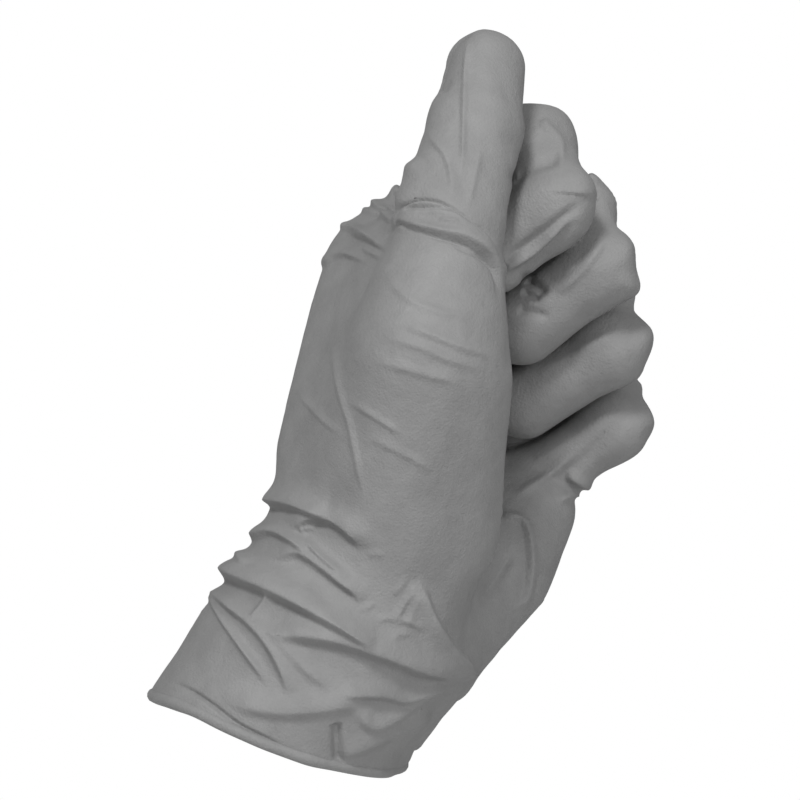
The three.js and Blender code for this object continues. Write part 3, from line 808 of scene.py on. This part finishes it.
def rim_wander(points):
    """Moves points near the rim in, out and up, as the loose rim lies."""
    angle = np.arctan2(points[:, 1], points[:, 0])
    wave = sum(rise * np.sin(count * angle + turn) for count, rise, turn in RIM_WAVES)
    height = points[:, 2]
    near = 1 - smooth_step(0, RIM_WAVE_HEIGHT, height)
    pull = CUFF_PULL * round_place(angle, CUFF_PULL_DEG, CUFF_PULL_SPREAD_DEG)
    pull *= smooth_step(*CUFF_PULL_RISES, height) * (1 - smooth_step(*CUFF_PULL_FALLS, height))
    out = wave * near - pull
    moved = points.copy()
    moved[:, 0] += np.cos(angle) * out
    moved[:, 1] += np.sin(angle) * out
    moved[:, 2] += RIM_LIFT * round_place(angle, RIM_LIFT_DEG, RIM_LIFT_SPREAD_DEG) * near
    return moved


def folded(points, quads):
    """The outer face with its folds and its small unevenness."""
    normals = vertex_normals(points, quads)
    to_camera = np.array(CAMERA_PLACE) - points
    to_camera /= np.linalg.norm(to_camera, axis=1, keepdims=True)
    seen = WRIST_FOLDS + THUMB_FOLDS + HAND_FOLDS + FINGER_FOLDS
    out = folds_seen(picture_place, points, normals, quads, to_camera, PICTURE_CELL, seen)
    along = np.array(hand_direction(0, 0, 1))
    for right, folds in ((hand_direction(0, -1, 0), BACK_FOLDS), (hand_direction(-1, 0, 0), ULNAR_FOLDS)):
        place = flat_place(right, along)
        viewer = np.cross(np.array(right), along)
        hidden = smooth_step(*HIDDEN_FACING, -(normals * to_camera).sum(axis=1))
        out += hidden * folds_seen(place, points, normals, quads, viewer, FLAT_CELL, folds)
    for seed, (size, rise) in enumerate(LUMPS):
        out += rise * lattice_noise(points, size, seed)
    out = np.maximum(out, -DEEPEST) * smooth_step(*RIM_FADE, points[:, 2])
    return rim_wander(points + normals * out[:, None])


# Skins and bead

def above_rim(points, quads):
    """Drops the faces that lie below the middle of the bead, and the points that no face is left on."""
    kept = quads[(points[quads][:, :, 2] > BEAD_DIAMETER / 2).all(axis=1)]
    used, faces = np.unique(kept, return_inverse=True)
    return points[used], faces.reshape(kept.shape)


def finer(points, quads):
    """The same surface with each quad smoothly cut in four."""
    coarse = bpy.data.meshes.new("coarse")
    coarse.from_pydata([tuple(p) for p in points], [], [tuple(q) for q in quads])
    piece = bpy.data.objects.new("coarse", coarse)
    bpy.context.scene.collection.objects.link(piece)
    piece.modifiers.new("finer", "SUBSURF").levels = 1
    mesh = bpy.data.meshes.new_from_object(piece.evaluated_get(bpy.context.evaluated_depsgraph_get()))
    flat = np.empty(3 * len(mesh.vertices))
    corners = np.empty(len(mesh.loops), int)
    mesh.vertices.foreach_get("co", flat)
    mesh.loops.foreach_get("vertex_index", corners)
    bpy.data.objects.remove(piece)
    bpy.data.meshes.remove(coarse)
    bpy.data.meshes.remove(mesh)
    return flat.reshape(-1, 3), corners.reshape(-1, 4)


def outer_skin(field):
    """The face that shows, with its folds, down to the bead."""
    points, quads = field_surface(field, 0.0)
    points = neighbour_mean(points, quads, OUTER_ROUNDS, SKIN_SHARE)
    points, quads = finer(*above_rim(points, quads))
    return folded(points, quads), quads


def inner_skin(field):
    """The plain face of the hollow, down to the bead."""
    points, quads = field_surface(field, -INNER_DEPTH, INNER_STEP)
    points, quads = above_rim(neighbour_mean(points, quads, INNER_ROUNDS, SKIN_SHARE), quads)
    return rim_wander(points), quads[:, ::-1]


def bead_tube():
    """The rolled bead: a ring of small circles round the rim."""
    radius = BEAD_DIAMETER / 2
    rim = rim_wander(body_ring(radius, RIM_SIDES, -WALL / 2))
    out = rim * (1, 1, 0)
    out /= np.linalg.norm(out, axis=1, keepdims=True)
    angle = np.arange(BEAD_TUBE_SIDES) / BEAD_TUBE_SIDES * 2 * np.pi
    thickness = 1 + BEAD_UNEVEN * lattice_noise(rim, BEAD_LUMP, BEAD_SEED)[:, None, None]
    rise = np.stack([np.zeros_like(angle), np.zeros_like(angle), np.sin(angle)], axis=1)
    circles = out[:, None, :] * np.cos(angle)[None, :, None] + rise[None]
    points = (rim[:, None, :] + radius * thickness * circles).reshape(-1, 3)
    i = np.arange(RIM_SIDES)[:, None] * BEAD_TUBE_SIDES
    next_i = np.roll(i, -1, axis=0)
    j = np.arange(BEAD_TUBE_SIDES)[None]
    next_j = np.roll(j, -1, axis=1)
    return points, np.stack([i + j, next_i + j, next_i + next_j, i + next_j], axis=2).reshape(-1, 4)


# Scene

def new_mesh_object(name, points, faces, material):
    mesh = bpy.data.meshes.new(name)
    mesh.from_pydata([tuple(p) for p in points * MM], [], [tuple(f) for f in faces])
    mesh.update()
    mesh.materials.append(material)
    mesh.polygons.foreach_set("use_smooth", [True] * len(mesh.polygons))
    piece = bpy.data.objects.new(name, mesh)
    bpy.context.scene.collection.objects.link(piece)
    return piece


def decimate(piece, triangles):
    """Leaves about so many triangles, most of them where the film bends."""
    modifier = piece.modifiers.new("decimate", "DECIMATE")
    modifier.ratio = min(1.0, triangles / (2 * len(piece.data.polygons)))
    reduced = bpy.data.meshes.new_from_object(piece.evaluated_get(bpy.context.evaluated_depsgraph_get()))
    piece.modifiers.clear()
    piece.data = reduced


def join_meshes(piece, others):
    """Adds other meshes to a piece's mesh."""
    mesh = bmesh.new()
    mesh.from_mesh(piece.data)
    for other in others:
        mesh.from_mesh(other.data)
        bpy.data.objects.remove(other)
    bmesh.ops.triangulate(mesh, faces=mesh.faces[:])
    mesh.to_mesh(piece.data)
    mesh.free()
    piece.data.polygons.foreach_set("use_smooth", [True] * len(piece.data.polygons))


def add_node(tree, kind, **inputs):
    node = tree.nodes.new(kind)
    for name, value in inputs.items():
        node.inputs[name.replace("_", " ")].default_value = value
    return node


def nitrile_material():
    """Matt grey nitrile with a fine pebbled grain and a faint mottle."""
    material = bpy.data.materials.new("nitrile")
    material.use_nodes = True
    tree = material.node_tree
    link = tree.links.new
    shader = tree.nodes["Principled BSDF"]
    shader.inputs["Specular IOR Level"].default_value = 0.35
    place = tree.nodes.new("ShaderNodeTexCoord").outputs["Object"]

    mottle = add_node(tree, "ShaderNodeTexNoise", Scale=140.0, Detail=4.0, Roughness=0.6)
    ramp = tree.nodes.new("ShaderNodeValToRGB")
    ramp.color_ramp.elements[0].position = 0.3
    ramp.color_ramp.elements[0].color = (*[NITRILE_DARK] * 3, 1)
    ramp.color_ramp.elements[1].position = 0.7
    ramp.color_ramp.elements[1].color = (*[NITRILE_LIGHT] * 3, 1)
    link(place, mottle.inputs["Vector"])
    link(mottle.outputs["Fac"], ramp.inputs["Fac"])
    link(ramp.outputs["Color"], shader.inputs["Base Color"])

    dull = add_node(tree, "ShaderNodeTexNoise", Scale=420.0, Detail=3.0)
    spread = add_node(tree, "ShaderNodeMapRange", To_Min=0.5, To_Max=0.68)
    link(place, dull.inputs["Vector"])
    link(dull.outputs["Fac"], spread.inputs["Value"])
    link(spread.outputs["Result"], shader.inputs["Roughness"])

    pebbles = add_node(tree, "ShaderNodeTexVoronoi", Scale=1900.0, Randomness=1.0)
    grain = add_node(tree, "ShaderNodeTexNoise", Scale=1100.0, Detail=3.0, Roughness=0.65)
    wide = add_node(tree, "ShaderNodeTexNoise", Scale=330.0, Detail=2.0)
    pebble_bump = add_node(tree, "ShaderNodeBump", Strength=0.5, Distance=0.00015)
    grain_bump = add_node(tree, "ShaderNodeBump", Strength=0.5, Distance=0.0002)
    wide_bump = add_node(tree, "ShaderNodeBump", Strength=0.4, Distance=0.0005)
    link(place, pebbles.inputs["Vector"])
    link(place, grain.inputs["Vector"])
    link(place, wide.inputs["Vector"])
    link(pebbles.outputs["Distance"], pebble_bump.inputs["Height"])
    link(grain.outputs["Fac"], grain_bump.inputs["Height"])
    link(wide.outputs["Fac"], wide_bump.inputs["Height"])
    link(wide_bump.outputs["Normal"], grain_bump.inputs["Normal"])
    link(grain_bump.outputs["Normal"], pebble_bump.inputs["Normal"])
    link(pebble_bump.outputs["Normal"], shader.inputs["Normal"])
    return material


def add_camera():
    data = bpy.data.cameras.new("camera")
    data.sensor_width = SENSOR
    data.lens = LENS
    data.clip_start = CLIP_START
    camera = bpy.data.objects.new("camera", data)
    camera.matrix_world = Matrix.Translation(Vector(CAMERA_PLACE) * MM) @ camera_matrix().to_4x4()
    bpy.context.scene.collection.objects.link(camera)
    bpy.context.scene.camera = camera


def studio_place(right, up, back):
    """A place in metres, measured from the middle of the glove along the camera's own directions."""
    middle = (Vector(solid_box[0]) + Vector(solid_box[1])) / 2
    return middle + camera_matrix() @ Vector((right, up, back))


def add_area_light(name, place, side, watts):
    data = bpy.data.lights.new(name, "AREA")
    data.size = side
    data.energy = watts
    light = bpy.data.objects.new(name, data)
    light.location = place
    light.rotation_euler = (studio_place(0, 0, 0) - place).to_track_quat("-Z", "Y").to_euler()
    bpy.context.scene.collection.objects.link(light)


def add_floor():
    bpy.ops.mesh.primitive_circle_add(
        vertices=FLOOR_SIDES, radius=FLOOR_RADIUS, fill_type="NGON", location=(0, 0, FLOOR_HEIGHT)
    )
    floor = bpy.context.object
    floor.name = "floor"
    material = bpy.data.materials.new("floor")
    material.use_nodes = True
    shader = material.node_tree.nodes["Principled BSDF"]
    shader.inputs["Base Color"].default_value = (*[FLOOR_TONE] * 3, 1)
    shader.inputs["Roughness"].default_value = 0.9
    floor.data.materials.append(material)


def add_sky():
    """Soft light from all round, stronger on the key's side, and a plain white background."""
    world = bpy.data.worlds.new("world")
    world.use_nodes = True
    tree = world.node_tree
    direction = tree.nodes.new("ShaderNodeTexCoord").outputs["Generated"]
    side = tree.nodes.new("ShaderNodeVectorMath")
    side.operation = "DOT_PRODUCT"
    side.inputs[1].default_value = (camera_matrix() @ Vector(SKY_STRONG_SIDE)).normalized()
    strength = add_node(tree, "ShaderNodeMapRange", From_Min=-1.0, To_Min=SKY_WEAK, To_Max=SKY_STRONG)
    light = tree.nodes["Background"]
    light.inputs["Color"].default_value = (1, 1, 1, 1)
    plain = add_node(tree, "ShaderNodeBackground", Color=(1, 1, 1, 1), Strength=BACKGROUND)
    seen = tree.nodes.new("ShaderNodeLightPath").outputs["Is Camera Ray"]
    mix = tree.nodes.new("ShaderNodeMixShader")
    tree.links.new(direction, side.inputs[0])
    tree.links.new(side.outputs["Value"], strength.inputs["Value"])
    tree.links.new(strength.outputs["Result"], light.inputs["Strength"])
    tree.links.new(seen, mix.inputs[0])
    tree.links.new(light.outputs["Background"], mix.inputs[1])
    tree.links.new(plain.outputs["Background"], mix.inputs[2])
    tree.links.new(mix.outputs["Shader"], tree.nodes["World Output"].inputs["Surface"])
    bpy.context.scene.world = world
    bpy.context.scene.view_settings.view_transform = "Standard"


def add_film():
    """The whole glove as one piece: outer skin, inner skin and bead."""
    field = film_field()
    nitrile = nitrile_material()
    film = new_mesh_object("film", *outer_skin(field), nitrile)
    decimate(film, OUTSIDE_TRIANGLES)
    inner = new_mesh_object("inner", *inner_skin(field), nitrile)
    bead = new_mesh_object("bead", *bead_tube(), nitrile)
    join_meshes(film, [inner, bead])
    print("film", len(film.data.polygons), "triangles")
    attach(film, "root")
    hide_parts("glove")


add_camera()
add_floor()
add_sky()
add_area_light("key", studio_place(*KEY_PLACE), KEY_SIDE, KEY_WATTS)
add_area_light("fill", studio_place(*FILL_PLACE), FILL_SIDE, FILL_WATTS)
add_film()
